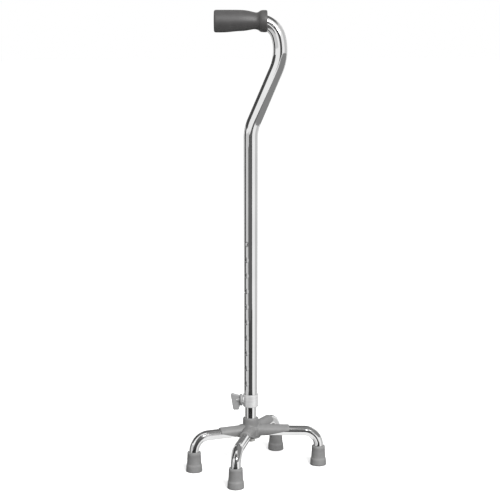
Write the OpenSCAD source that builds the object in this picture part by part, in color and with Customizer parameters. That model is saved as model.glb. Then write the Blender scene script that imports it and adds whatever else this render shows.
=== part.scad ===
// Quad walking cane: a telescoping tube with an offset handle on a four-legged base.
// Millimetres, +Z up. The origin is the centre of the rectangle of feet, on the floor.
// +X runs along the long side of the base. The tubes stand off centre, towards +Y.

/* [Tubes] */
// Outside diameter of the upper tube, which carries the handle
upper_d = 22.2; // [21.8:0.1:24]
// Outside diameter of the lower tube, which stands in the hub
lower_d = 19.05; // [17:0.05:19.1]
// Outside diameter of the leg tubes
leg_d = 15.9; // [14:0.1:16]
// Wall thickness of every tube
wall = 1.25; // [1:0.05:1.3]

/* [Base] */
// Distance between foot centres along X
feet_x = 176; // [165:1:200]
// Distance between foot centres along Y
feet_y = 105; // [100:1:120]
// Place of the tubes along X
mast_x = 4.5; // [0:0.5:10]
// Place of the tubes along Y
mast_y = 20.5; // [15:0.5:25]
// Height of the level run of the legs
leg_z = 57; // [55:1:62]
// Radius of the leg bends, on the centre line
leg_bend_r = 24; // [20:1:25]
// How far the arms of the hub reach along the legs: back left, front left, front right, back right
arm_reach = [54, 44, 63, 64]; // [40:1:65]

/* [Foot tips] */
// Height of a rubber tip
tip_h = 32; // [28:1:34]
// Diameter of a tip at its top
tip_top_d = 21.4; // [21:0.1:24]
// Diameter of a tip just above its skirt
tip_waist_d = 23.2; // [22:0.1:26]
// Diameter of a tip at the floor
tip_floor_d = 26.4; // [24:0.1:30]

/* [Height adjustment] */
// Distance from one height hole to the next
hole_pitch = 25.4; // [20:0.1:26]
// Number of height positions
hole_count = 10; // [5:1:10]
// Diameter of a height hole
hole_d = 8; // [7.6:0.1:9]
// Height of the lowest hole with the cane at its shortest
first_hole_z = 137.5; // [134:0.5:150]
// Direction that the button faces
button_az = 192; // [180:1:200]

/* [Handle] */
// Height of the grip's axis with the cane at its shortest
grip_z = 716; // [700:1:730]
// Direction in which the neck leans away from the tube
handle_az = -40; // [-180:1:180]
// Angle of the sloping part of the neck from the vertical
neck_lean = 23.3; // [18:0.1:28]
// Angle past the vertical at which the wide bend gives way to the tight one
neck_fold = 13.7; // [5:0.1:20]
// Radius of the bend above the straight tube
low_bend_r = 62; // [50:1:80]
// Radius of the wide bend at the side of the neck
side_bend_r = 78; // [60:1:90]
// Radius of the tight bend into the grip
crown_bend_r = 32.7; // [30:0.1:36]
// Where the tight bend ends and the level run of the tube starts, from the tube's axis
crown_s = 11.8; // [10:0.1:14]
// Largest radius of the grip
grip_r = 17.4; // [16:0.1:20]
// Radius of the grip at its waist
waist_r = 12.9; // [12.7:0.1:15]
// Where the closed end of the grip lies, from the tube's axis
grip_back = -57.4; // [-70:0.1:-50]
// Where the flanged end of the grip lies
grip_front = 26; // [25:0.1:27]

/* [Locking collar] */
// Height of the collar's lower face
collar_z = 98; // [96:0.5:100]
// Height of the collar
collar_h = 20.5; // [19:0.5:22]
// Radius of the collar
collar_r = 12.35; // [12.2:0.05:14]
// Direction in which the clamp screw points
screw_az = 144; // [0:1:360]
// Height of the clamp screw
screw_z = 109; // [108.5:0.1:109.1]

/* [Hidden] */
$fn = 64;

// radial clearances
running = 0.05;
sliding = 0.1;
snug = 0.03;

// bent tubes: how far a bend laps into the straight runs beside it, how much thinner it is, and the
// shortest straight run between two bends
lap = 0.5;
hair = 0.05;
join = 1.2;

// legs: place of each foot from the mast, then its direction and distance
BACK_LEFT = 0;
FRONT_LEFT = 1;
FRONT_RIGHT = 2;
BACK_RIGHT = 3;
foot = [for (side = [[-1, 1], [-1, -1], [1, -1], [1, 1]])
    [side[0] * feet_x / 2 - mast_x, side[1] * feet_y / 2 - mast_y]];
leg_az = [for (f = foot) atan2(f[1], f[0])];
leg_reach = [for (f = foot) norm(f)];
leg_start = 17.5;

// tips
tip_floor = 6.5;
washer_h = 1.2;
leg_foot_z = tip_floor + washer_h;

// hub
hub_floor_z = 49;
core_r = 16.5;
core_top_z = 64;
arm_half_w = leg_d / 2 + 2.2;
arm_floor_z = [50, 50.4, 50, 50];
cheek_start = 22;
cheek_end_z = leg_z + 2;
socket_r = 12.6;
socket_top_z = 79;
plate_h = 2.4;
plate_z = hub_floor_z - plate_h;
plate_screw_r = 2;
// places of the plate screws, as direction and distance from the mast: one in the wide gap between
// the back legs, and one further out in the narrow gap between the right legs
wide_back = (leg_az[BACK_LEFT] + leg_az[BACK_RIGHT]) / 2;
narrow_right = (leg_az[FRONT_RIGHT] + leg_az[BACK_RIGHT]) / 2;
plate_screws_at = [[wide_back, 20], [narrow_right, 30]];
ear_r = 6.5;

// lower tube and what fixes it in the hub
lower_bottom_z = hub_floor_z + 2;
insert_h = 14;
bolt_r = 4;
top_hole_z = first_hole_z + (hole_count - 1) * hole_pitch;
lower_top_z = top_hole_z + 26;

// snap button
button_r = hole_d / 2 - 0.35;
button_tip = upper_d / 2 + 1.5;
leaf_t = 0.8;
leaf_w = 8;
leaf_x = lower_d / 2 - wall - 2;

// clamp
shoulder_z = collar_z + collar_h - 6;
pad_face = lower_d / 2 + 0.4;
stud_r = 3;
pad_l = 1.8;
dog_r = 1.5;
dog_l = 1.1;
boss_r = 7;
boss_end = collar_r + 0.7;
knob_face = boss_end + 0.4;
knob_r = 9.7;
knob_t = 4;
wing_t = 5;
stud_end = knob_face + 10;

// neck, worked back from the grip: s is the distance from the tube's axis in the handle's plane
crown_z = grip_z - crown_bend_r;
fold_s = crown_s + crown_bend_r * cos(neck_fold);
fold_z = crown_z + crown_bend_r * sin(neck_fold);
side_s = fold_s + join * sin(neck_fold) - side_bend_r * cos(neck_fold);
side_z = fold_z - join * cos(neck_fold) - side_bend_r * sin(neck_fold);
lean_s = side_s + side_bend_r * cos(neck_lean);
lean_z = side_z - side_bend_r * sin(neck_lean);
corner_z = lean_z - lean_s / tan(neck_lean);
low_tangent = low_bend_r * tan(neck_lean / 2);
tube_back = grip_back + 4;
// each step of the tube's path: straight length, then bend angle and radius
handle_path = [
    [corner_z - low_tangent - shoulder_z, neck_lean, low_bend_r],
    [lean_s / sin(neck_lean) - low_tangent, -neck_lean - neck_fold, side_bend_r],
    [join, neck_fold - 90, crown_bend_r],
    [crown_s - tube_back, 0, 0]
];

// Everything that stands on the mast's axis
module at_mast() {
    translate([mast_x, mast_y, 0]) children();
}

// Turned so that +X points in the direction az from the mast's axis
module facing(az) {
    at_mast() rotate([0, 0, az]) children();
}

// A round bar along +X, from x0 to x1
module bar(r, x0, x1) {
    translate([x0, 0, 0]) rotate([0, 90, 0]) cylinder(r = r, h = x1 - x0);
}

// A rod that follows path from the origin along +Z and bends towards +X at positive angles.
// Its bends are a hair thinner than its straight runs and lap into them, so no faces just touch.
module bent_rod(r, path, over = 0, i = 0) {
    if (i < len(path)) {
        run = path[i][0];
        angle = abs(path[i][1]);
        bend_r = path[i][2];
        turn = path[i][1] < 0 ? 180 : 0;
        before = i == 0 ? over : 0;
        after = i == len(path) - 1 ? over : 0;
        translate([0, 0, -before]) cylinder(r = r, h = before + run + after);
        translate([0, 0, run]) rotate([0, 0, turn]) {
            if (angle > 0) {
                lap_angle = lap / bend_r * 180 / PI;
                translate([bend_r, 0, 0]) rotate([90, 0, 180]) rotate([0, 0, -lap_angle])
                    rotate_extrude(angle = angle + 2 * lap_angle)
                        translate([bend_r, 0]) circle(r = r - hair);
            }
            translate([bend_r * (1 - cos(angle)), 0, bend_r * sin(angle)])
                rotate([0, angle, 0]) rotate([0, 0, -turn])
                    bent_rod(r, path, over, i + 1);
        }
    }
}

module bent_tube(r, path) {
    difference() {
        bent_rod(r, path);
        bent_rod(r - wall, path, 1);
    }
}

// Outline across an arm of the hub: straight cheeks under a round top, y across and z up
module arm_outline(floor_z) {
    translate([0, leg_z]) circle(r = arm_half_w);
    translate([-arm_half_w, floor_z]) square([2 * arm_half_w, leg_z - floor_z]);
}

// An arm of the hub. Seen from the side, its cheeks get shallower towards its end
module arm(reach, floor_z) {
    top_z = leg_z + arm_half_w + 1;
    intersection() {
        rotate([90, 0, 90]) linear_extrude(reach) arm_outline(floor_z);
        rotate([90, 0, 0]) linear_extrude(3 * arm_half_w, center = true) polygon([
            [0, floor_z], [cheek_start, floor_z], [reach, cheek_end_z], [reach, top_z], [0, top_z]
        ]);
    }
}

// Channel for a leg: round at the top and open below
module leg_channel(reach) {
    r = leg_d / 2 + snug;
    translate([0, 0, leg_z]) bar(r, leg_start - 0.5, reach + 1);
    translate([leg_start - 0.5, -r, hub_floor_z - 1])
        cube([reach + 1.5 - leg_start, 2 * r, leg_z - hub_floor_z + 1]);
}

module ears(r) {
    for (p = plate_screws_at) {
        rotate([0, 0, p[0]]) {
            translate([p[1], 0]) circle(r = r);
            translate([0, -r]) square([p[1], 2 * r]);
        }
    }
}

module plate_outline() {
    circle(r = core_r);
    ears(ear_r);
}

module hub_casting() {
    color([0.55, 0.55, 0.55]) at_mast() difference() {
        union() {
            translate([0, 0, hub_floor_z]) linear_extrude(core_top_z - hub_floor_z) plate_outline();
            translate([0, 0, hub_floor_z]) cylinder(r = socket_r, h = socket_top_z - 1.5 - hub_floor_z);
            translate([0, 0, socket_top_z - 1.5]) cylinder(r1 = socket_r, r2 = socket_r - 1.5, h = 1.5);
            for (i = [BACK_LEFT:BACK_RIGHT]) rotate([0, 0, leg_az[i]]) arm(arm_reach[i], arm_floor_z[i]);
        }
        for (i = [BACK_LEFT:BACK_RIGHT]) rotate([0, 0, leg_az[i]]) leg_channel(arm_reach[i]);
        translate([0, 0, lower_bottom_z]) cylinder(r = lower_d / 2 + snug, h = socket_top_z);
        translate([0, 0, hub_floor_z - 1]) cylinder(r = bolt_r + 0.5, h = 10);
        for (p = plate_screws_at) rotate([0, 0, p[0]]) translate([p[1], 0, hub_floor_z - 1])
            cylinder(r = plate_screw_r + snug, h = 12);
    }
}

module hub_base_plate() {
    color([0.5, 0.5, 0.5]) at_mast() translate([0, 0, plate_z]) difference() {
        linear_extrude(plate_h - snug) plate_outline();
        translate([0, 0, -1]) cylinder(r = bolt_r + 0.5, h = plate_h + 2);
        for (p = plate_screws_at) rotate([0, 0, p[0]]) translate([p[1], 0, -1])
            cylinder(r = plate_screw_r + 0.3, h = plate_h + 2);
    }
}

module plate_screws() {
    color("silver") at_mast() for (p = plate_screws_at) rotate([0, 0, p[0]])
        translate([p[1], 0, plate_z]) difference() {
            union() {
                cylinder(r = plate_screw_r, h = 13);
                translate([0, 0, -2.2]) cylinder(r1 = 3.1, r2 = 3.9, h = 2.2);
            }
            for (turn = [0, 90]) rotate([0, 0, turn])
                translate([-2, -0.5, -3]) cube([4, 1, 2]);
        }
}

module socket_washer() {
    color("silver") at_mast() translate([0, 0, plate_z - 1.6]) difference() {
        cylinder(r = 9, h = 1.6);
        translate([0, 0, -1]) cylinder(r = bolt_r + 0.3, h = 4);
    }
}

module socket_bolt() {
    color("silver") at_mast() {
        translate([0, 0, plate_z - 1.6]) cylinder(r = bolt_r, h = 16);
        translate([0, 0, plate_z - 6.9]) cylinder(r = 7.5, h = 5.3, $fn = 6);
    }
}

// Threaded plug pressed into the foot of the lower tube
module tube_insert() {
    color("dimgray") at_mast() translate([0, 0, lower_bottom_z]) difference() {
        cylinder(r = lower_d / 2 - wall - snug, h = insert_h);
        translate([0, 0, -1]) cylinder(r = bolt_r + snug, h = insert_h + 2);
    }
}

module lower_tube() {
    color("gainsboro") difference() {
        at_mast() translate([0, 0, lower_bottom_z])
            bent_tube(lower_d / 2, [[lower_top_z - lower_bottom_z, 0, 0]]);
        facing(button_az) translate([0, 0, top_hole_z]) bar(button_r + sliding, 4, lower_d);
    }
}

// A leg runs level out of the hub, bends down and ends on the washer in its tip
module leg(i) {
    run = leg_reach[i] - leg_start - leg_bend_r;
    drop = leg_z - leg_bend_r - leg_foot_z;
    color("gainsboro") facing(leg_az[i]) translate([leg_start, 0, leg_z]) rotate([0, 90, 0])
        bent_tube(leg_d / 2, [[run, 90, leg_bend_r], [drop, 0, 0]]);
}

// Places its children on the floor under the end of leg i
module under_leg(i) {
    facing(leg_az[i]) translate([leg_reach[i], 0, 0]) children();
}

module foot_tip(i) {
    top_r = tip_top_d / 2;
    waist_r = tip_waist_d / 2;
    floor_r = tip_floor_d / 2;
    skirt_z = tip_h * 0.34;
    color([0.4, 0.4, 0.4]) under_leg(i) rotate_extrude() difference() {
        polygon([[0, 2], [floor_r * 0.55, 2], [floor_r * 0.6, 0], [floor_r - 0.6, 0], [floor_r, 1.5],
            [floor_r - 0.4, skirt_z - 1], [waist_r, skirt_z + 2], [top_r, tip_h - 1], [top_r - 1, tip_h],
            [0, tip_h]]);
        translate([0, tip_floor]) square([leg_d / 2 + snug, tip_h]);
    }
}

module tip_washers() {
    color("silver") for (i = [BACK_LEFT:BACK_RIGHT]) under_leg(i) translate([0, 0, tip_floor])
        difference() {
            cylinder(r = leg_d / 2 - 0.1, h = washer_h);
            translate([0, 0, -1]) cylinder(r = 3, h = washer_h + 2);
        }
}

// Spring clip pressed from one strip: two leaves joined by a bend, with the button on one of them
module snap_button() {
    leaf_up = 14;
    leaf_down = 22;
    facing(button_az) translate([0, 0, top_hole_z]) color("silver") {
        rotate([90, 0, 0]) translate([0, 0, -leaf_w / 2]) linear_extrude(leaf_w) {
            for (side = [0, 1]) mirror([side, 0])
                translate([leaf_x - leaf_t, -leaf_down]) square([leaf_t, leaf_up + leaf_down]);
            translate([0, -leaf_down]) difference() {
                circle(r = leaf_x);
                circle(r = leaf_x - leaf_t);
                translate([-leaf_x, 0]) square(2 * leaf_x);
            }
        }
        rotate([0, 90, 0]) rotate_extrude() intersection() {
            translate([0, leaf_x - leaf_t / 2])
                square([button_r, button_tip - leaf_x + leaf_t / 2]);
            translate([0, button_tip - 2 * button_r]) circle(r = 2 * button_r);
        }
    }
}

module locking_collar() {
    chamfer = 0.8;
    color("white") difference() {
        union() {
            at_mast() translate([0, 0, collar_z]) rotate_extrude() polygon([[0, 0],
                [collar_r - chamfer, 0], [collar_r, chamfer], [collar_r, collar_h - chamfer],
                [collar_r - chamfer, collar_h], [0, collar_h]]);
            facing(screw_az) translate([0, 0, screw_z]) bar(boss_r, collar_r - 3, boss_end);
        }
        at_mast() translate([0, 0, collar_z - 1]) cylinder(r = lower_d / 2 + 0.3, h = collar_h);
        at_mast() translate([0, 0, shoulder_z - sliding])
            cylinder(r = upper_d / 2 + running, h = collar_h);
        facing(screw_az) translate([0, 0, screw_z]) bar(stud_r, 4, boss_end + 1);
    }
}

// Nylon pad between the screw and the lower tube
module clamp_pad() {
    color("ivory") facing(screw_az) translate([0, 0, screw_z]) difference() {
        bar(stud_r - sliding, pad_face, pad_face + pad_l);
        bar(dog_r + running, pad_face + pad_l - dog_l - 0.1, pad_face + pad_l + 1);
    }
}

module clamp_stud() {
    shoulder = pad_face + pad_l + running;
    color("silver") facing(screw_az) translate([0, 0, screw_z]) {
        bar(dog_r, shoulder - dog_l, shoulder + 1);
        bar(stud_r - running, shoulder, stud_end);
    }
}

// Paddle-shaped knob on a round flange, moulded onto the stud
module wing_knob() {
    color([0.6, 0.6, 0.6]) facing(screw_az) translate([0, 0, screw_z]) difference() {
        union() {
            bar(knob_r, knob_face, knob_face + knob_t);
            bar(5, knob_face, stud_end + 1.5);
            translate([knob_face + knob_t - 0.5, wing_t / 2, 0]) rotate([90, 0, 0])
                linear_extrude(wing_t) polygon([[0, -7], [1.5, -14], [3.5, -16.5], [10.5, -16.5],
                    [12, -15], [15.7, 8], [15, 10.5], [12.5, 11.5], [2, 8.5], [0, 7]]);
        }
        bar(stud_r, knob_face - 1, stud_end + 0.1);
    }
}

module upper_tube() {
    color("gainsboro") difference() {
        facing(handle_az) translate([0, 0, shoulder_z]) bent_tube(upper_d / 2, handle_path);
        facing(button_az) for (i = [0:hole_count - 1])
            translate([0, 0, first_hole_z + i * hole_pitch]) bar(hole_d / 2, -upper_d, upper_d);
    }
}

module grip() {
    color([0.3, 0.3, 0.3]) facing(handle_az) difference() {
        translate([0, 0, grip_z]) rotate([0, 90, 0]) rotate_extrude()
            polygon([[0, grip_back], [grip_r - 1.5, grip_back], [grip_r, grip_back + 1.5],
                [grip_r, -22], [grip_r - 0.5, -10], [grip_r - 2.2, 0], [waist_r + 0.5, 7],
                [waist_r + 0.2, 9.5], [waist_r + 1.5, 13], [grip_r - 0.6, 17], [grip_r - 0.3, grip_front - 1],
                [grip_r - 1.2, grip_front], [0, grip_front]]);
        translate([0, 0, shoulder_z]) bent_rod(upper_d / 2 + snug, handle_path);
    }
}

hub_casting();
hub_base_plate();
plate_screws();
socket_bolt();
socket_washer();
tube_insert();
lower_tube();
leg(BACK_LEFT);  // leg_back_left
leg(FRONT_LEFT);  // leg_front_left
leg(FRONT_RIGHT);  // leg_front_right
leg(BACK_RIGHT);  // leg_back_right
foot_tip(BACK_LEFT);  // foot_tip_back_left
foot_tip(FRONT_LEFT);  // foot_tip_front_left
foot_tip(FRONT_RIGHT);  // foot_tip_front_right
foot_tip(BACK_RIGHT);  // foot_tip_back_right
tip_washers();
snap_button();
locking_collar();
clamp_pad();
clamp_stud();
wing_knob();
upper_tube();
grip();
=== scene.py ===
"""The looks of the quad walking cane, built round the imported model.

Everything is in metres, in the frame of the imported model: +Z up, +X along the long side of the base.
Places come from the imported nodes' boxes. The few sizes that a box can't give stand below.
"""

import math

import bmesh
import bpy
from mathutils import Matrix, Vector


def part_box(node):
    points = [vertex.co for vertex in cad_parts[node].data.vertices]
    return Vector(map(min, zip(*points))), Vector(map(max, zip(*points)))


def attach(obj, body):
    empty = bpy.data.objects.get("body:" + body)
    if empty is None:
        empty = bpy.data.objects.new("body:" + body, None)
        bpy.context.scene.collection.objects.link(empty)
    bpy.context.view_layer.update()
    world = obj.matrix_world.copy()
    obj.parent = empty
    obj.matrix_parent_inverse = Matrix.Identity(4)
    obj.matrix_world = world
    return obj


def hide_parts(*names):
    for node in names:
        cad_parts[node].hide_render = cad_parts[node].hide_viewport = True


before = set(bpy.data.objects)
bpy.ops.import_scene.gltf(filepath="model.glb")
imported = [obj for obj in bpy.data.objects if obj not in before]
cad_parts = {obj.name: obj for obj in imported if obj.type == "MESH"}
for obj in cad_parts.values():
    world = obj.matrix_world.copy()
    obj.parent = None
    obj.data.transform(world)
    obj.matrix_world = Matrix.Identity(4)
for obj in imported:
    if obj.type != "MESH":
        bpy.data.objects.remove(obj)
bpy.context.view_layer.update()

MM = 0.001
TAU = 2 * math.pi

# tubes
WALL = 1.25 * MM
UPPER_R = 11.1 * MM
LEG_R = 7.95 * MM
HOLE_R = 4 * MM
HOLE_PITCH = 25.4 * MM
HOLE_COUNT = 10
FIRST_HOLE_Z = 137.5 * MM

# room all round a tube in the hole that it goes through
FIT = 0.05 * MM

# directions about the mast, in degrees
BUTTON_AZ = 192
HANDLE_AZ = -40
SCREW_AZ = 144

# legs, and how far the hub's arms reach along them
LEG_START = 17.5 * MM
LEG_BEND_R = 24 * MM
LEGS = {"back_left": 54 * MM, "front_left": 44 * MM, "front_right": 63 * MM, "back_right": 64 * MM}

# hub: its middle, and the ears round the screws of its plate with their distance from the mast's axis
CORE_R = 16.4 * MM
CORE_TOP = 64.5 * MM
EAR_R = 6.5 * MM
BACK_EAR_REACH = 20 * MM
RIGHT_EAR_REACH = 30 * MM

# cheeks of the arms: their least thickness, how low they start, where they begin to rise, and how high
# they end
CHEEK_WALL = 2.2 * MM
CHEEK_LOW = 50 * MM
CHEEK_START = 22 * MM
CHEEK_END = 59 * MM

# neck of the handle: where the tube ends in the grip and where the tight bend ends, from the mast's axis,
# then the radii and the lean of the bends
TUBE_END_S = -53.4 * MM
CROWN_S = 11.8 * MM
CROWN_R = 32.7 * MM
SIDE_R = 78 * MM
LOW_R = 62 * MM
JOIN = 1.2 * MM
FOLD = math.radians(13.7)
LEAN = math.radians(23.3)


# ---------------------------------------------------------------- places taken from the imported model


def centre_of(node):
    low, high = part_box(node)
    return (low + high) / 2


def low_z(node):
    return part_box(node)[0].z


def high_z(node):
    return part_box(node)[1].z


MAST = centre_of("lower_tube")
LOWER_R = (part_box("lower_tube")[1].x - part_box("lower_tube")[0].x) / 2
GRIP_Z = centre_of("grip").z
GRIP_R = (high_z("grip") - low_z("grip")) / 2
COLLAR_LOW = low_z("locking_collar")
COLLAR_HIGH = high_z("locking_collar")
SHOULDER_Z = COLLAR_HIGH - 6 * MM  # inside the collar, where the upper tube stands
SCREW_Z = centre_of("clamp_stud").z
TOP_HOLE_Z = FIRST_HOLE_Z + (HOLE_COUNT - 1) * HOLE_PITCH


def facing(azimuth, z=0.0):
    """Matrix that puts +X in the direction azimuth from the mast's axis, at height z"""
    turn = Matrix.Rotation(math.radians(azimuth), 4, "Z")
    return Matrix.Translation((MAST.x, MAST.y, z)) @ turn


def along_x(matrix):
    """The same place with the local +Z laid along its +X"""
    return matrix @ Matrix.Rotation(math.pi / 2, 4, "Y")


# ---------------------------------------------------------------- mesh tools


def circle(radius, z, count):
    angles = [TAU * k / count for k in range(count)]
    return [Vector((radius * math.cos(a), radius * math.sin(a), z)) for a in angles]


def skin(rings, loop=False):
    """Vertices and faces of the surface through rings of equal size; a ring of one point is a pole"""
    verts, faces, starts = [], [], []
    for ring in rings:
        starts.append(len(verts))
        verts.extend(ring)
    pairs = list(zip(range(len(rings)), range(1, len(rings))))
    if loop:
        pairs.append((len(rings) - 1, 0))
    for a, b in pairs:
        count = max(len(rings[a]), len(rings[b]))
        for k in range(count):
            n = (k + 1) % count
            corners = []
            for start, ring, order in ((starts[a], rings[a], (k, n)), (starts[b], rings[b], (n, k))):
                corners += [start] if len(ring) == 1 else [start + i for i in order]
            faces.append(corners)
    return verts, faces


def rounded(outline, steps=5):
    """Outline of (r, z, fillet) corners as (r, z) points, each fillet an arc"""
    points = []
    last = len(outline) - 1
    for i, (r, z, fillet) in enumerate(outline):
        corner = Vector((r, z))
        if fillet == 0 or i in (0, last):
            points.append(corner)
            continue
        before = (Vector(outline[i - 1][:2]) - corner).normalized()
        after = (Vector(outline[i + 1][:2]) - corner).normalized()
        half = before.angle(after) / 2
        reach = fillet / math.tan(half)
        centre = corner + (before + after).normalized() * fillet / math.sin(half)
        start, end = corner + before * reach - centre, corner + after * reach - centre
        sweep = start.angle_signed(end)
        for k in range(steps + 1):
            arm = start.copy()
            arm.rotate(Matrix.Rotation(-sweep * k / steps, 2))
            points.append(centre + arm)
    return points


def revolve(outline, count=96, loop=False):
    """The outline's (r, z) points turned about Z. The first two numbers of each point count"""
    rings = [[Vector((0, 0, p[1]))] if p[0] < 1e-7 else circle(p[0], p[1], count) for p in outline]
    return skin(rings, loop)


def moved(parts, matrix):
    verts, faces = parts
    return [matrix @ v for v in verts], faces


def joined(*parts):
    verts, faces = [], []
    for v, f in parts:
        faces += [[i + len(verts) for i in face] for face in f]
        verts = verts + list(v)
    return verts, faces


def mesh_of(name, parts):
    mesh = bpy.data.meshes.new(name)
    mesh.from_pydata([tuple(v) for v in parts[0]], [], parts[1])
    work = bmesh.new()
    work.from_mesh(mesh)
    bmesh.ops.remove_doubles(work, verts=work.verts, dist=1e-7)
    bmesh.ops.recalc_face_normals(work, faces=work.faces)
    work.to_mesh(mesh)
    work.free()
    mesh.validate()
    return mesh


def add_piece(name, parts, body, material, nodes=(), sharp=40):
    """A finished piece: smooth-shaded with crisp edges past the angle sharp, riding on its body"""
    obj = bpy.data.objects.new(name, mesh_of(name, parts))
    bpy.context.scene.collection.objects.link(obj)
    finish_piece(obj, body, material, nodes, sharp)
    return obj


def finish_piece(obj, body, material, nodes=(), sharp=40):
    """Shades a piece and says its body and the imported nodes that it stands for"""
    for polygon in obj.data.polygons:
        polygon.use_smooth = True
    if sharp:
        obj.data.set_sharp_from_angle(angle=math.radians(sharp))
    obj.data.materials.clear()
    obj.data.materials.append(material)
    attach(obj, body)
    if nodes:
        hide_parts(*nodes)


def apply_modifiers(obj):
    """Makes an object's modifiers part of its mesh"""
    graph = bpy.context.evaluated_depsgraph_get()
    mesh = bpy.data.meshes.new_from_object(obj.evaluated_get(graph))
    old = obj.data
    obj.modifiers.clear()
    obj.data = mesh
    bpy.data.meshes.remove(old)


def blended(name, parts, voxel, smoothing):
    """Overlapping closed shapes melted into one cast or moulded body with soft inner corners"""
    obj = bpy.data.objects.new(name, mesh_of(name, parts))
    bpy.context.scene.collection.objects.link(obj)
    remesh = obj.modifiers.new("melt", "REMESH")
    remesh.mode = "VOXEL"
    remesh.voxel_size = voxel
    smooth = obj.modifiers.new("soften", "SMOOTH")
    smooth.factor = 0.5
    smooth.iterations = smoothing
    apply_modifiers(obj)
    return obj


# ---------------------------------------------------------------- materials


class Paint:
    """A procedural material: short calls that add and join nodes round one Principled shader"""

    def __init__(self, name, **sockets):
        self.material = bpy.data.materials.new(name)
        self.material.use_nodes = True
        self.tree = self.material.node_tree
        self.shader = self.tree.nodes["Principled BSDF"]
        for key, value in sockets.items():
            self.shader.inputs[key.replace("_", " ")].default_value = value
        self.place = self.tree.nodes.new("ShaderNodeTexCoord").outputs["Object"]

    def node(self, kind, **settings):
        made = self.tree.nodes.new("ShaderNode" + kind)
        for key, value in settings.items():
            setattr(made, key, value)
        return made

    def link(self, source, target):
        self.tree.links.new(source, target)

    def noise(self, scale, detail=3.0, stretch=(1, 1, 1)):
        """Noise in the object's own space, in cycles per metre"""
        mapping = self.node("Mapping")
        mapping.inputs["Scale"].default_value = stretch
        made = self.node("TexNoise")
        made.inputs["Scale"].default_value = scale
        made.inputs["Detail"].default_value = detail
        self.link(self.place, mapping.inputs["Vector"])
        self.link(mapping.outputs["Vector"], made.inputs["Vector"])
        return made.outputs["Fac"]

    def colour(self, value, low, high):
        """Base colour from low to high with a noise value"""
        made = self.node("ValToRGB")
        for element, colour, at in zip(made.color_ramp.elements, (low, high), (0.3, 0.7)):
            element.color = (*colour, 1)
            element.position = at
        self.link(value, made.inputs["Fac"])
        self.link(made.outputs["Color"], self.shader.inputs["Base Color"])

    def roughness(self, value, low, high):
        """Roughness from low to high with a noise value"""
        made = self.node("MapRange")
        made.inputs["From Min"].default_value = 0.25
        made.inputs["From Max"].default_value = 0.75
        made.inputs["To Min"].default_value = low
        made.inputs["To Max"].default_value = high
        self.link(value, made.inputs["Value"])
        self.link(made.outputs["Result"], self.shader.inputs["Roughness"])

    def bumps(self, *layers):
        """Each layer is (noise, depth in metres)"""
        normal = None
        for value, depth in layers:
            made = self.node("Bump")
            made.inputs["Strength"].default_value = 1.0
            made.inputs["Distance"].default_value = depth
            self.link(value, made.inputs["Height"])
            if normal:
                self.link(normal, made.inputs["Normal"])
            normal = made.outputs["Normal"]
        self.link(normal, self.shader.inputs["Normal"])


def grey(value, warm=0.0):
    """A grey, with this share more red and less blue"""
    return (value * (1 + warm), value, value * (1 - warm))


def chrome():
    paint = Paint("polished_chrome", Metallic=1.0)
    smudges = paint.noise(38, 4, (1, 1, 0.35))
    paint.colour(smudges, grey(0.78), grey(0.84))
    paint.roughness(smudges, 0.05, 0.09)
    paint.bumps((paint.noise(60, 2, (1, 1, 0.15)), 0.00003), (paint.noise(2600, 2), 0.0000012))
    return paint.material


def satin_metal():
    paint = Paint("satin_collar", Metallic=0.35)
    turned = paint.noise(420, 3, (0.08, 0.08, 9))
    paint.colour(paint.noise(90), grey(0.56), grey(0.64))
    paint.roughness(turned, 0.24, 0.34)
    paint.bumps((turned, 0.000003))
    return paint.material


def zinc():
    paint = Paint("zinc_plate", Metallic=1.0)
    paint.colour(paint.noise(240, 4), (0.5, 0.5, 0.49), (0.66, 0.65, 0.62))
    paint.roughness(paint.noise(500, 4), 0.28, 0.45)
    paint.bumps((paint.noise(1800), 0.00001))
    return paint.material


def spring_steel():
    paint = Paint("nickel_plate", Metallic=1.0)
    paint.colour(paint.noise(160, 3), grey(0.66), grey(0.76))
    paint.roughness(paint.noise(380, 3), 0.14, 0.24)
    paint.bumps((paint.noise(1500), 0.000006))
    return paint.material


def cast_grey():
    paint = Paint("grey_casting", Metallic=0.0, Specular_IOR_Level=0.45)
    paint.colour(paint.noise(120, 5), grey(0.16, 0.004), grey(0.183, 0.004))
    paint.roughness(paint.noise(300, 4), 0.4, 0.55)
    paint.bumps((paint.noise(500, 4), 0.00003), (paint.noise(2400, 3), 0.00002))
    return paint.material


def knob_plastic():
    paint = Paint("moulded_knob", Specular_IOR_Level=0.45)
    paint.colour(paint.noise(200, 3), grey(0.235), grey(0.265))
    paint.roughness(paint.noise(700, 3), 0.4, 0.52)
    paint.bumps((paint.noise(2200, 2), 0.00002))
    return paint.material


def tip_rubber():
    paint = Paint("tip_rubber", Specular_IOR_Level=0.35)
    paint.colour(paint.noise(150, 5), grey(0.182, 0.004), grey(0.212, 0.004))
    paint.roughness(paint.noise(400, 4), 0.6, 0.78)
    paint.bumps((paint.noise(500, 4), 0.00003), (paint.noise(2800, 3), 0.00002))
    return paint.material


def grip_vinyl():
    paint = Paint("grip_vinyl", Specular_IOR_Level=0.4, Sheen_Weight=0.1, Sheen_Roughness=0.5)
    paint.colour(paint.noise(90, 4), (0.046, 0.0445, 0.0445), (0.058, 0.056, 0.056))
    paint.roughness(paint.noise(500, 3), 0.42, 0.56)
    paint.bumps((paint.noise(420, 3), 0.00004), (paint.noise(2400, 3), 0.00002))
    return paint.material


def nylon():
    paint = Paint("natural_nylon", Subsurface_Weight=0.1)
    paint.colour(paint.noise(400, 3), (0.72, 0.7, 0.64), (0.8, 0.79, 0.74))
    paint.roughness(paint.noise(900), 0.4, 0.5)
    paint.bumps((paint.noise(2600), 0.000008))
    return paint.material


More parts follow.
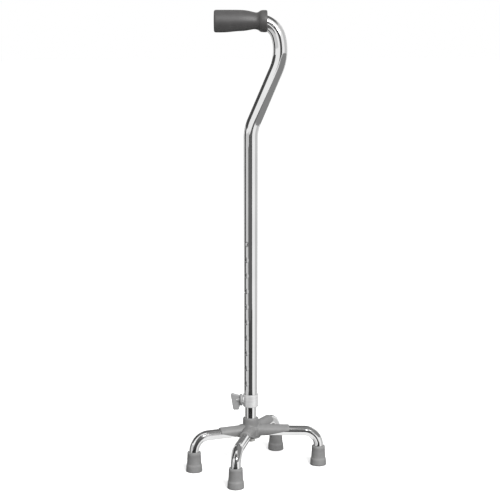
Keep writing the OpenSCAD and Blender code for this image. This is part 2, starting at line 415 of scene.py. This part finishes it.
CHROME = chrome()
SATIN = satin_metal()
ZINC = zinc()
SPRING = spring_steel()
CAST = cast_grey()
KNOB = knob_plastic()
RUBBER = tip_rubber()
VINYL = grip_vinyl()
NYLON = nylon()


# ---------------------------------------------------------------- tubes


def neck_path(end_s):
    """Height where the bends start, and the centre line from there as (s, z, lean)

    s is the distance from the mast's axis in the handle's plane. The line is built down from the crown."""
    crown_z = GRIP_Z - CROWN_R
    fold_s, fold_z = CROWN_S + CROWN_R * math.cos(FOLD), crown_z + CROWN_R * math.sin(FOLD)
    side_s = fold_s + JOIN * math.sin(FOLD) - SIDE_R * math.cos(FOLD)
    side_z = fold_z - JOIN * math.cos(FOLD) - SIDE_R * math.sin(FOLD)
    lean_s, lean_z = side_s + SIDE_R * math.cos(LEAN), side_z - SIDE_R * math.sin(LEAN)
    corner_z = lean_z - lean_s / math.tan(LEAN)
    bend_z = corner_z - LOW_R * math.tan(LEAN / 2)
    path = []
    for k in range(1, 13):
        a = LEAN * k / 12
        path.append((LOW_R * (1 - math.cos(a)), bend_z + LOW_R * math.sin(a), a))
    s, z, _ = path[-1]
    for k in range(1, 6):
        t = k / 6
        path.append((s + (lean_s - s) * t, z + (lean_z - z) * t, LEAN))
    for k in range(25):
        a = LEAN - (LEAN + FOLD) * k / 24
        path.append((side_s + SIDE_R * math.cos(a), side_z - SIDE_R * math.sin(a), a))
    for k in range(37):
        a = -FOLD - (math.pi / 2 - FOLD) * k / 36
        path.append((CROWN_S + CROWN_R * math.cos(a), crown_z - CROWN_R * math.sin(a), a))
    path.append((end_s, GRIP_Z, -math.pi / 2))
    return bend_z, path


class PunchedTube:
    """A tube on the mast's axis, with round holes through its wall, which may go on along a bent path

    Columns of vertices run up the tube. Each hole sits in a square patch of SPAN cells either way, filled
    with RINGS rings of faces, and its outer edge is rounded by LIP."""

    COLUMNS = 96
    SPAN = 7
    RINGS = 4
    LIP = 0.3 * MM

    def __init__(self, radius, low, high, first_az):
        self.radius, self.low, self.high, self.first_az = radius, low, high, math.radians(first_az)
        self.cell = TAU / self.COLUMNS
        self.patch = self.SPAN * self.cell * radius
        self.holes, self.path, self.path_az = [], [], 0.0
        self.verts, self.faces, self.normals = [], [], []

    def hole(self, column, z):
        self.holes.append((column, z))

    def columns_past(self, column, j):
        """How many columns j is past column, the short way round"""
        half = self.COLUMNS // 2
        return (j - column + half) % self.COLUMNS - half

    def vertex(self, place, normal):
        self.verts.append(place)
        self.normals.append(normal)
        return len(self.verts) - 1

    def on_mast(self, angle, radius, z, flip):
        out = Vector((math.cos(angle), math.sin(angle), 0))
        return self.vertex(Vector((MAST.x, MAST.y, z)) + out * radius, -out if flip else out)

    def on_path(self, angle, radius, step, flip):
        s, z, lean = step
        along = Vector((math.cos(self.path_az), math.sin(self.path_az), 0))
        across = Vector((-along.y, along.x, 0))
        side = along * math.cos(lean) - Vector((0, 0, math.sin(lean)))
        out = side * math.cos(angle - self.path_az) + across * math.sin(angle - self.path_az)
        place = Vector((MAST.x, MAST.y, z)) + along * s
        return self.vertex(place + out * radius, -out if flip else out)

    def heights(self):
        """Heights of the rows on the mast's axis: the ends, and every cell of the patches"""
        zs = {round(self.low, 7), round(self.high, 7)}
        step = self.patch / self.SPAN
        for _, z in self.holes:
            zs.update(round(z + k * step, 7) for k in range(-self.SPAN, self.SPAN + 1))
        return sorted(zs)

    def surface(self, radius, flip):
        """The outer or inner skin. Returns its first and last rings and the vertices round each hole"""
        zs = self.heights()
        rows, centres = [], {(c, zs.index(round(z, 7))): z for c, z in self.holes}

        def inside(i, j):
            return any(max(abs(i - r), abs(self.columns_past(c, j))) < self.SPAN for c, r in centres)

        for i, z in enumerate(zs):
            row = []
            for j in range(self.COLUMNS):
                angle = self.first_az + j * self.cell
                row.append(None if inside(i, j) else self.on_mast(angle, radius, z, flip))
            rows.append(row)
        for step in self.path:
            rows.append(
                [self.on_path(self.first_az + j * self.cell, radius, step, flip) for j in range(self.COLUMNS)]
            )
        for i in range(len(rows) - 1):
            for j in range(self.COLUMNS):
                n = (j + 1) % self.COLUMNS
                corners = [rows[i][j], rows[i][n], rows[i + 1][n], rows[i + 1][j]]
                if None not in corners and not self.in_patch(centres, i, j):
                    self.faces.append(corners[::-1] if flip else corners)
        rims = []
        for (column, row), z in centres.items():
            rims.append(self.patch_rings(rows, column, row, z, radius, flip))
        return rows[0], rows[-1], rims

    def in_patch(self, centres, i, j):
        """Whether the cell above row i and past column j belongs to a hole's patch"""
        low, high = -self.SPAN, self.SPAN
        return any(low <= i - r < high and low <= self.columns_past(c, j) < high for c, r in centres)

    def patch_rings(self, rows, column, row, z, radius, flip):
        """Rings of faces from the square border of a patch in to its hole"""
        span = self.SPAN
        border = [(k, -span) for k in range(-span, span)] + [(span, k) for k in range(-span, span)]
        border += [(-k, span) for k in range(-span, span)] + [(-span, -k) for k in range(-span, span)]
        hole_r = HOLE_R if flip else HOLE_R + self.LIP
        previous = [rows[row + dz][(column + da) % self.COLUMNS] for da, dz in border]
        for ring in range(1, self.RINGS + 1):
            t = ring / self.RINGS
            current = []
            for da, dz in border:
                phi = math.atan2(dz, da)
                u = da * self.cell * (1 - t) + math.asin(hole_r * math.cos(phi) / radius) * t
                v = dz * self.patch / span * (1 - t) + hole_r * math.sin(phi) * t
                current.append(self.on_mast(self.first_az + column * self.cell + u, radius, z + v, flip))
            self.band(previous, current, flip)
            previous = current
        return previous

    def band(self, first, second, flip):
        count = len(first)
        for k in range(count):
            n = (k + 1) % count
            corners = [first[k], first[n], second[n], second[k]]
            self.faces.append(corners[::-1] if flip else corners)

    def build(self):
        """Joins the two skins at the ends and round the holes"""
        low_out, high_out, rims_out = self.surface(self.radius, False)
        low_in, high_in, rims_in = self.surface(self.radius - WALL, True)
        self.band(low_in, low_out, False)
        self.band(high_out, high_in, False)
        for (column, z), outer, inner in zip(self.holes, rims_out, rims_in):
            azimuth = self.first_az + column * self.cell
            out = Vector((math.cos(azimuth), math.sin(azimuth), 0))
            across = Vector((-out.y, out.x, 0))
            axis = Vector((MAST.x, MAST.y, z))
            lip = []
            for index in inner:
                offset = self.verts[index] - axis
                towards = across * offset.dot(across) + Vector((0, 0, offset.z))
                depth = math.sqrt(self.radius**2 - offset.dot(across) ** 2) - self.LIP
                lip.append(self.vertex(axis + towards + out * depth, -towards.normalized()))
            self.band(outer, lip, False)
            self.band(lip, inner, False)
        return self

    def piece(self, name, body, node, slot):
        mesh = bpy.data.meshes.new(name)
        mesh.from_pydata([tuple(v) for v in self.verts], [], self.faces)
        obj = bpy.data.objects.new(name, mesh)
        bpy.context.scene.collection.objects.link(obj)
        finish_piece(obj, body, CHROME, [node], sharp=0)
        mesh.normals_split_custom_set_from_vertices([tuple(n) for n in self.normals])
        return obj


def upper_tube():
    tube = PunchedTube(UPPER_R, SHOULDER_Z, 0, BUTTON_AZ)
    tube.path_az = math.radians(HANDLE_AZ)
    tube.high, tube.path = neck_path(TUBE_END_S)
    for i in range(HOLE_COUNT):
        for columns in (0, tube.COLUMNS // 2):
            tube.hole(columns, FIRST_HOLE_Z + i * HOLE_PITCH)
    tube.build().piece("upper_tube_chrome", "handle", "upper_tube", "chrome_tube")


def lower_tube():
    low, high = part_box("lower_tube")
    tube = PunchedTube(LOWER_R, low.z, high.z, BUTTON_AZ)
    tube.hole(0, TOP_HOLE_Z)
    tube.build().piece("lower_tube_chrome", "base", "lower_tube", "chrome_tube")


def leg_azimuth(leg):
    foot = centre_of("foot_tip_" + leg)
    return math.degrees(math.atan2(foot.y - MAST.y, foot.x - MAST.x))


def leg_reach(leg):
    foot = centre_of("foot_tip_" + leg)
    return math.hypot(foot.x - MAST.x, foot.y - MAST.y)


def leg_level():
    return high_z("leg_back_left") - LEG_R


def leg_parts(leg, count=64):
    """The bent leg as a closed skin: out and down on the outside, and back up on the inside"""
    reach, level = leg_reach(leg), leg_level()
    stations = [(LEG_START, level, 0.0)]
    for k in range(25):
        a = math.pi / 2 * k / 24
        s, z = reach - LEG_BEND_R + LEG_BEND_R * math.sin(a), level - LEG_BEND_R * (1 - math.cos(a))
        stations.append((s, z, a))
    stations.append((reach, low_z("leg_" + leg), math.pi / 2))

    def ring(station, radius):
        s, z, lean = station
        up = Vector((math.sin(lean), 0, math.cos(lean)))
        points = []
        for k in range(count):
            a = TAU * k / count
            across = Vector((0, radius * math.sin(a), 0))
            points.append(Vector((s, 0, z)) + up * radius * math.cos(a) + across)
        return points

    rings = [ring(station, LEG_R) for station in stations]
    rings += [ring(station, LEG_R - WALL) for station in reversed(stations)]
    return moved(skin(rings, loop=True), facing(leg_azimuth(leg)))


def legs():
    for leg in LEGS:
        add_piece(f"leg_{leg}_chrome", leg_parts(leg), "base", CHROME, [f"leg_{leg}"], 60)


# ---------------------------------------------------------------- feet


def foot_tips():
    """Rubber tips: a tapered sleeve over a heavier skirt, with a ring-shaped groove in the floor face"""
    for leg in LEGS:
        low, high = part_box("foot_tip_" + leg)
        floor_r, height = (high.x - low.x) / 2, high.z - low.z
        top_r, waist_r = 10.7 * MM, 11.6 * MM
        skirt = height * 0.34
        hole_r, hole_floor = LEG_R + FIT, 6.5 * MM
        outline = rounded([
            (0, 2 * MM, 0), (4.2 * MM, 2 * MM, 0.4 * MM), (4.8 * MM, 0.9 * MM, 0.3 * MM),
            (6.6 * MM, 0.9 * MM, 0.3 * MM), (7.2 * MM, 0, 0.3 * MM), (floor_r - 3.4 * MM, 0, 0.3 * MM),
            (floor_r - 3 * MM, 0.7 * MM, 0.2 * MM), (floor_r - 2.2 * MM, 0.7 * MM, 0.2 * MM),
            (floor_r - 1.8 * MM, 0, 0.3 * MM), (floor_r - 0.1 * MM, 0, 0.8 * MM),
            (floor_r - 0.1 * MM, 3 * MM, 1 * MM), (floor_r - 0.5 * MM, skirt - 1 * MM, 1.2 * MM),
            (waist_r, skirt + 2 * MM, 1.6 * MM), (top_r + 0.1 * MM, height - 4.4 * MM, 0),
            (top_r + 0.3 * MM, height - 3.6 * MM, 0.3 * MM), (top_r, height, 1.1 * MM),
            (hole_r, height, 0.5 * MM), (hole_r, hole_floor, 0), (0, hole_floor, 0),
        ])
        centre = centre_of("foot_tip_" + leg)
        parts = moved(revolve(outline), Matrix.Translation((centre.x, centre.y, low.z)))
        add_piece(f"tip_{leg}_rubber", parts, "base", RUBBER, [f"foot_tip_{leg}"], 50)


# ---------------------------------------------------------------- hub


def arm_parts(leg, reach):
    """One arm: cheeks under a round top, thinner and shallower outwards, with a rounded end"""
    level, count = leg_level(), 24
    rounding = {0.99: 0.4 * MM, 1.0: 1.2 * MM}
    rings = []
    for share in (0.15, 0.4, 0.6, 0.8, 0.97, 0.99, 1.0):
        s = reach * share
        half = LEG_R + CHEEK_WALL + 1.2 * MM * max(0, 0.7 - share) - rounding.get(share, 0)
        foot = CHEEK_LOW + (CHEEK_END - CHEEK_LOW) * max(0, s - CHEEK_START) / (reach - CHEEK_START)
        # straight cheeks below the middle of the leg and a half round above it, both cut off at the foot
        start = math.asin(min(1, max(-1, (foot - level) / half)))
        ring = []
        for k in range(count + 1):
            a = start + (math.pi - 2 * start) * k / count
            out = math.cos(a) if a > 0 else math.copysign(1, math.cos(a))
            ring.append(Vector((s, half * out, max(level + half * math.sin(a), foot))))
        rings.append(ring)
    ends = [[sum(ring, Vector()) / len(ring)] for ring in (rings[0], rings[-1])]
    return moved(skin([ends[0], *rings, ends[1]]), facing(leg_azimuth(leg)))


def plate_screw_places():
    """Direction and distance from the mast of the two screws, in the gaps between the legs"""
    az = {leg: leg_azimuth(leg) for leg in LEGS}
    return [
        ((az["back_left"] + az["back_right"]) / 2, BACK_EAR_REACH),
        ((az["front_right"] + az["back_right"]) / 2, RIGHT_EAR_REACH),
    ]


def leg_room():
    """The channels that the legs lie in, round above and open below"""
    parts = []
    level, radius = leg_level(), LEG_R + FIT
    open_z = level - 14 * MM
    for leg, reach in LEGS.items():
        rings = []
        for s in (LEG_START, reach + 4 * MM):
            ring = [Vector((s, radius, open_z))]
            ring += [Vector((s, radius * math.cos(a), level + radius * math.sin(a)))
                     for a in [math.pi * k / 32 for k in range(33)]]
            ring.append(Vector((s, -radius, open_z)))
            rings.append(ring)
        ends = [[sum(ring, Vector()) / len(ring)] for ring in rings]
        parts.append(moved(skin([ends[0], *rings, ends[1]]), facing(leg_azimuth(leg))))
    return parts


def cut(obj, parts, name):
    """Takes closed shapes away from an object"""
    tool = bpy.data.objects.new(name, mesh_of(name, parts))
    bpy.context.scene.collection.objects.link(tool)
    boolean = obj.modifiers.new("cut", "BOOLEAN")
    boolean.operation = "DIFFERENCE"
    boolean.solver = "EXACT"
    boolean.object = tool
    apply_modifiers(obj)
    mesh = tool.data
    bpy.data.objects.remove(tool)
    bpy.data.meshes.remove(mesh)


def hub():
    """The casting: middle, socket, ears and arms melted into one, then cleared for the tubes"""
    floor = low_z("hub_casting") + 0.1 * MM
    top = high_z("hub_casting")
    core = rounded([
        (0, floor, 0), (CORE_R, floor, 1 * MM), (CORE_R, CORE_TOP - 2 * MM, 2 * MM), (13 * MM, CORE_TOP, 0),
        (0, CORE_TOP, 0),
    ])
    socket = rounded([
        (0, floor - 0.4 * MM, 0), (13.2 * MM, floor - 0.4 * MM, 1 * MM), (12.8 * MM, top - 4 * MM, 0),
        (12.6 * MM, top, 1.5 * MM), (0, top, 0),
    ])
    ear = rounded([
        (0, floor, 0), (EAR_R, floor, 1 * MM), (EAR_R - 0.2 * MM, CORE_TOP - 2.5 * MM, 2 * MM),
        (0, CORE_TOP - 2 * MM, 0),
    ])
    parts = [moved(revolve(outline), facing(0)) for outline in (core, socket)]
    for azimuth, distance in plate_screw_places():
        parts.append(moved(revolve(ear, 48), facing(azimuth) @ Matrix.Translation((distance, 0, 0))))
    parts += [arm_parts(leg, reach) for leg, reach in LEGS.items()]
    obj = blended("hub_casting_cast", joined(*parts), 0.7 * MM, 5)
    cut(obj, joined(*leg_room()), "leg_room")
    bore_r, bore_low, bore_high = LOWER_R + FIT, floor + 2 * MM, top + 2 * MM
    bore = [(0, bore_low), (bore_r, bore_low), (bore_r, bore_high), (0, bore_high)]
    cut(obj, moved(revolve(bore), facing(0)), "tube_room")
    finish_piece(obj, "base", CAST, ["hub_casting"], 45)


# ---------------------------------------------------------------- collar, screw and knob


def collar():
    """The ring round both tubes, with the threaded boss of the clamp screw"""
    low, high = COLLAR_LOW, COLLAR_HIGH
    outer, edge = 12.35 * MM, 0.8 * MM
    upper_room, lower_room = UPPER_R + FIT, LOWER_R + 0.3 * MM
    outline = rounded([
        (lower_room, low + 1 * MM, 0), (LOWER_R + 0.6 * MM, low, 0.3 * MM), (outer, low, edge),
        (outer, high, edge), (UPPER_R + 0.4 * MM, high, 0.3 * MM), (upper_room, high - 0.6 * MM, 0.1 * MM),
        (upper_room, SHOULDER_Z, 0), (lower_room, SHOULDER_Z, 0),
    ])
    ring = moved(revolve(outline, 128, loop=True), facing(0))
    boss_r, boss_end, stud_r = 7 * MM, 13.05 * MM, 3.05 * MM
    boss = rounded([
        (stud_r, 11.5 * MM, 0), (boss_r, 11.5 * MM, 0), (boss_r, boss_end, 0.5 * MM),
        (3.4 * MM, boss_end, 0.3 * MM), (stud_r, 12.6 * MM, 0),
    ])
    parts = joined(ring, moved(revolve(boss, 64, loop=True), along_x(facing(SCREW_AZ, SCREW_Z))))
    add_piece("locking_collar_satin", parts, "collar", SATIN, ["locking_collar"], 35)


def plate(outline, thickness, edge, steps=5):
    """A flat plate with rounded rims: outline is a loop of (x, z) points, and the plate spreads along Y"""
    count = len(outline)
    points = [Vector(p) for p in outline]
    inward = []
    for k in range(count):
        along = (points[(k + 1) % count] - points[k - 1]).normalized()
        inward.append(Vector((-along.y, along.x)))
    rings = []
    for k in range(2 * steps + 2):
        side = 1 if k <= steps else -1
        a = math.pi / 2 * (k if k <= steps else 2 * steps + 1 - k) / steps
        inset, y = edge * (1 - math.sin(a)), side * (thickness / 2 - edge * (1 - math.cos(a)))
        rings.append([Vector((p.x + n.x * inset, y, p.y + n.y * inset)) for p, n in zip(points, inward)])
    verts, faces = skin(rings)
    faces.append(list(range(count))[::-1])
    faces.append([len(verts) - count + k for k in range(count)])
    return verts, faces


def soft_loop(corners, steps=6):
    """Loop of (x, z, fillet) corners as points"""
    looped = [corners[-1], *corners, corners[0]]
    points = rounded(looped, steps)
    return [tuple(p) for p in points[1:-1]]


def wing_knob():
    """Round flange and a paddle to turn it by, moulded in one"""
    face = 13.45 * MM
    flange_r = 9.7 * MM
    flange = rounded([
        (0, face, 0), (flange_r, face, 0.7 * MM), (flange_r, face + 4 * MM, 1.3 * MM),
        (0, face + 4.4 * MM, 0),
    ])
    boss = rounded([
        (0, face, 0), (4.6 * MM, face, 0.5 * MM), (3.6 * MM, face + 9 * MM, 1.6 * MM), (0, face + 10 * MM, 0),
    ])
    place = along_x(facing(SCREW_AZ, SCREW_Z))
    base = face + 3.5 * MM
    # corners of the paddle, in millimetres: outwards from its base, up, and fillet
    corners = [
        (0, -7, 0.1), (2.4, -16.5, 2), (11.6, -16.5, 2), (15.7, 9.5, 1.6), (13.6, 11.6, 1.4), (1.6, 8.2, 1.5),
        (0, 7, 0.1),
    ]
    paddle = soft_loop([(base + x * MM, z * MM, fillet * MM) for x, z, fillet in corners])
    parts = joined(
        moved(revolve(flange, 96), place), moved(revolve(boss, 48), place),
        moved(plate(paddle, 5 * MM, 1.6 * MM), facing(SCREW_AZ, SCREW_Z)),
    )
    obj = blended("wing_knob_moulded", parts, 0.4 * MM, 3)
    finish_piece(obj, "clamp_screw", KNOB, ["wing_knob"], 0)


# ---------------------------------------------------------------- grip and button


def ease(value, start, end):
    """0 before start, 1 after end, and a smooth step between"""
    t = min(1, max(0, (value - start) / (end - start)))
    return t * t * (3 - 2 * t)


def grip():
    """The moulded grip about its own axis. Its underside eases in earlier than its top, for the fingers"""
    back, front = -57.4, 26
    # stations in millimetres from the mast's axis, with the share of the full radius there
    shape = [
        (back + 0.5, 0), (back + 0.5, 0.16), (back, 0.2), (back, 0.6), (back + 0.05, 0.84),
        (back + 0.4, 0.92), (back + 1.1, 0.968), (back + 2.4, 0.995), (-53, 1.0), (-44, 1.0), (-36, 1.0),
        (-28, 1.0), (-21, 0.998), (-15, 0.99), (-10, 0.972), (-5, 0.935), (0, 0.875), (4, 0.815),
        (7, 0.775), (9.5, 0.762), (11.5, 0.785), (13, 0.845), (14.4, 0.91), (15.8, 0.95), (17.4, 0.97),
        (20, 0.98), (23, 0.982), (24.6, 0.97), (25.5, 0.94), (front, 0.885), (front, 0.72), (front, 0),
    ]
    # the hollow for the fingers eases in between the first two stations below, and out between the others
    depth = 2 * MM
    count = 96
    rings = []
    for s, share in shape:
        hollow = depth * ease(s, -42, -18) * (1 - ease(s, 1, 13))
        ring = []
        for k in range(count):
            a = TAU * k / count
            r = share * GRIP_R - hollow * max(0.0, -math.sin(a)) ** 1.5
            ring.append(Vector((s * MM, r * math.cos(a), r * math.sin(a))))
        rings.append([Vector((s * MM, 0, 0))] if share == 0 else ring)
    parts = moved(skin(rings), facing(HANDLE_AZ, GRIP_Z))
    obj = add_piece("grip_moulded", parts, "handle", VINYL, ["grip"], 60)
    smooth = obj.modifiers.new("soft", "SUBSURF")
    smooth.levels = smooth.render_levels = 1
    apply_modifiers(obj)


def snap_button():
    """Domed end of the button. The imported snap_button stays, for the shank and the clip that carries it"""
    radius, rise = 3.65 * MM, 1.6 * MM
    tip, leaf = 12.6 * MM, 6.7 * MM
    dome = [(0, tip)]
    for k in range(1, 11):
        a = math.pi / 2 * k / 10
        dome.append((radius * math.sin(a), tip - rise * (1 - math.cos(a))))
    parts = moved(revolve([*dome, (radius, leaf), (0, leaf)], 64), along_x(facing(BUTTON_AZ, TOP_HOLE_Z)))
    add_piece("snap_button_dome", parts, "button", SPRING, (), 40)


# ---------------------------------------------------------------- underside


def underside():
    """The plate under the hub, with its ears"""
    low, top = low_z("hub_base_plate"), high_z("hub_base_plate")
    disc = rounded([(0, low, 0), (CORE_R, low, 0.8 * MM), (CORE_R, top, 0.2 * MM), (0, top, 0)])
    ear = rounded([(0, low, 0), (EAR_R, low, 0.8 * MM), (EAR_R, top, 0.2 * MM), (0, top, 0)])
    parts = [moved(revolve(disc), facing(0))]
    for azimuth, distance in plate_screw_places():
        parts.append(moved(revolve(ear, 48), facing(azimuth) @ Matrix.Translation((distance, 0, 0))))
    obj = blended("hub_plate_cast", joined(*parts), 0.6 * MM, 2)
    finish_piece(obj, "base", CAST, ["hub_base_plate"], 0)


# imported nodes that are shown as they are
CAD_FINISH = {
    "plate_screws": ZINC, "socket_bolt": ZINC, "socket_washer": ZINC, "tube_insert": ZINC,
    "tip_washers": ZINC, "clamp_stud": ZINC, "clamp_pad": NYLON, "snap_button": SPRING,
}


def finish_cad_nodes():
    """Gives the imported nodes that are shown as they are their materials"""
    for node, material in CAD_FINISH.items():
        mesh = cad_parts[node].data
        mesh.materials.clear()
        mesh.materials.append(material)


# ---------------------------------------------------------------- stage, light and camera

# where the camera stands as seen from the mast, in degrees and metres, how far it looks down, and its lens
CAMERA_AZ = -40.4
CAMERA_DISTANCE = 2.0
CAMERA_HEIGHT = 0.6735
CAMERA_SIDE = -0.0011
CAMERA_PITCH = 9.03
CAMERA_LENS = 91.15

FLOOR_HALF = 60
KEY_SIZE = (1.4, 1.4)
KEY_WATTS = 110
CARD_STEP = 6


def from_camera(side, out, z):
    """The point side metres to the right of the mast as the camera sees it, and out metres towards it"""
    a = math.radians(CAMERA_AZ)
    right, towards = Vector((math.cos(a), math.sin(a), 0)), Vector((math.sin(a), -math.cos(a), 0))
    return Vector((MAST.x, MAST.y, z)) + right * side + towards * out


def camera():
    data = bpy.data.cameras.new("camera")
    data.lens = CAMERA_LENS
    data.sensor_width = 36
    data.clip_start, data.clip_end = 0.05, 200
    obj = bpy.data.objects.new("camera", data)
    obj.location = from_camera(CAMERA_SIDE, CAMERA_DISTANCE, CAMERA_HEIGHT)
    obj.rotation_euler = (math.radians(90 - CAMERA_PITCH), 0, math.radians(CAMERA_AZ))
    bpy.context.scene.collection.objects.link(obj)
    bpy.context.scene.camera = obj


def lamp(name, place, target, size, watts):
    """An area light at place, turned to target"""
    data = bpy.data.lights.new(name, "AREA")
    data.shape = "RECTANGLE"
    data.size, data.size_y = size
    data.energy = watts
    obj = bpy.data.objects.new(name, data)
    obj.location = place
    obj.rotation_euler = (Vector(target) - place).to_track_quat("-Z", "Y").to_euler()
    bpy.context.scene.collection.objects.link(obj)


def glowing(mesh, value):
    """Gives a mesh a material that only shines, at a grey value"""
    material = bpy.data.materials.new(mesh.name)
    material.use_nodes = True
    tree = material.node_tree
    tree.nodes.clear()
    glow = tree.nodes.new("ShaderNodeEmission")
    glow.inputs["Color"].default_value = (value, value, value, 1)
    out = tree.nodes.new("ShaderNodeOutputMaterial")
    tree.links.new(glow.outputs[0], out.inputs[0])
    mesh.materials.append(material)


def only_reflected(name, mesh):
    """Puts a mesh on the stage where only glossy rays meet it"""
    obj = bpy.data.objects.new(name, mesh)
    for ray in ("camera", "diffuse", "transmission", "volume_scatter", "shadow"):
        setattr(obj, "visible_" + ray, False)
    bpy.context.scene.collection.objects.link(obj)


def card(name, start, end, value, low, high, distance):
    """An upright curved card that only reflections see, between two bearings from the camera's side"""
    steps = max(2, int((end - start) / CARD_STEP))
    verts = []
    for k in range(steps + 1):
        a = math.radians(start + (end - start) * k / steps)
        verts += [tuple(from_camera(math.sin(a) * distance, math.cos(a) * distance, z)) for z in (low, high)]
    mesh = bpy.data.meshes.new(name)
    mesh.from_pydata(verts, [], [(2 * k, 2 * k + 2, 2 * k + 3, 2 * k + 1) for k in range(steps)])
    glowing(mesh, value)
    only_reflected(name, mesh)


# what the chrome reflects: start and end as bearings from the camera's side in degrees, how bright the
# card is, the heights of its edges, and its distance from the mast's axis
CARDS = {
    "front_high": (2, 34, 0.08, 0.625, 1.2, 0.8),
    "front": (-29, 24, 0.11, 0.1, 0.515, 0.8),
    "front_low": (-34, 28, 0.075, -0.1, 0.1, 0.8),
    "front_lowest": (-48, 34, 0.03, -0.26, -0.1, 0.8),
    "front_near": (-40, 2, 0.14, 0.18, 0.5, 0.3),
    "left_front": (-87, -29, 0.68, -3.0, 0.6, 2.4),
    "left_side": (-114, -87, 0.02, -3.0, 0.9, 2.4),
    "left_high": (-150, -70, 0.07, 0.9, 5.0, 2.4),
    "left_back": (-150, -114, 0.6, -3.0, 0.9, 2.4),
    "back": (155, 205, 0.2, -3.0, 5.0, 2.4),
    "right_side": (75, 135, 0.64, -3.0, 5.0, 2.4),
}


def level_card(name, corners, z, value):
    """A level card that only reflections see, through corners given as (side, out)"""
    mesh = bpy.data.meshes.new(name)
    mesh.from_pydata([tuple(from_camera(side, out, z)) for side, out in corners], [], [range(len(corners))])
    glowing(mesh, value)
    only_reflected(name, mesh)


def ground(name, z):
    """A level square far wider than the picture, left out of what the chrome reflects"""
    h = FLOOR_HALF
    mesh = bpy.data.meshes.new(name)
    mesh.from_pydata([(-h, -h, z), (h, -h, z), (h, h, z), (-h, h, z)], [], [(0, 1, 2, 3)])
    obj = bpy.data.objects.new(name, mesh)
    obj.visible_glossy = False
    bpy.context.scene.collection.objects.link(obj)
    return obj


def studio():
    """White surroundings, a pale floor, one soft lamp and the cards that the chrome reflects"""
    world = bpy.data.worlds.new("studio")
    world.use_nodes = True
    world.node_tree.nodes["Background"].inputs["Color"].default_value = (1, 1, 1, 1)
    world.node_tree.nodes["Background"].inputs["Strength"].default_value = 1.0
    bpy.context.scene.world = world
    bpy.context.scene.view_settings.view_transform = "Standard"

    # the floor that is seen, and one under it for the light that it throws back up
    floor = ground("floor", 0)
    paint = Paint("floor", Roughness=1.0, Specular_IOR_Level=0.0, Emission_Strength=0.1)
    paint.shader.inputs["Base Color"].default_value = (0.93, 0.93, 0.93, 1)
    paint.shader.inputs["Emission Color"].default_value = (1, 1, 1, 1)
    floor.data.materials.append(paint.material)
    floor.visible_diffuse = False
    bounce = ground("floor_bounce", -0.002)
    glowing(bounce.data, 0.08)
    bounce.visible_camera = False

    lamp("key", from_camera(1.1, 2.2, 1.9), from_camera(0, 0, 0.35), KEY_SIZE, KEY_WATTS)
    for name, place in CARDS.items():
        card("card_" + name, *place)
    right_low = [(0.04, 0.11), (0.6, 1.7), (2.4, 1.7), (2.4, -1.6), (0.05, -0.12)]
    level_card("card_right_low", right_low, 0.54, 0.27)
    ceiling = [(-2.5, 0.22), (2.5, 0.22), (2.5, -2.6), (-2.5, -2.6)]
    level_card("card_ceiling", ceiling, 2.8, 0.14)


upper_tube()
lower_tube()
legs()
foot_tips()
hub()
underside()
collar()
wing_knob()
grip()
snap_button()
finish_cad_nodes()
studio()
camera()
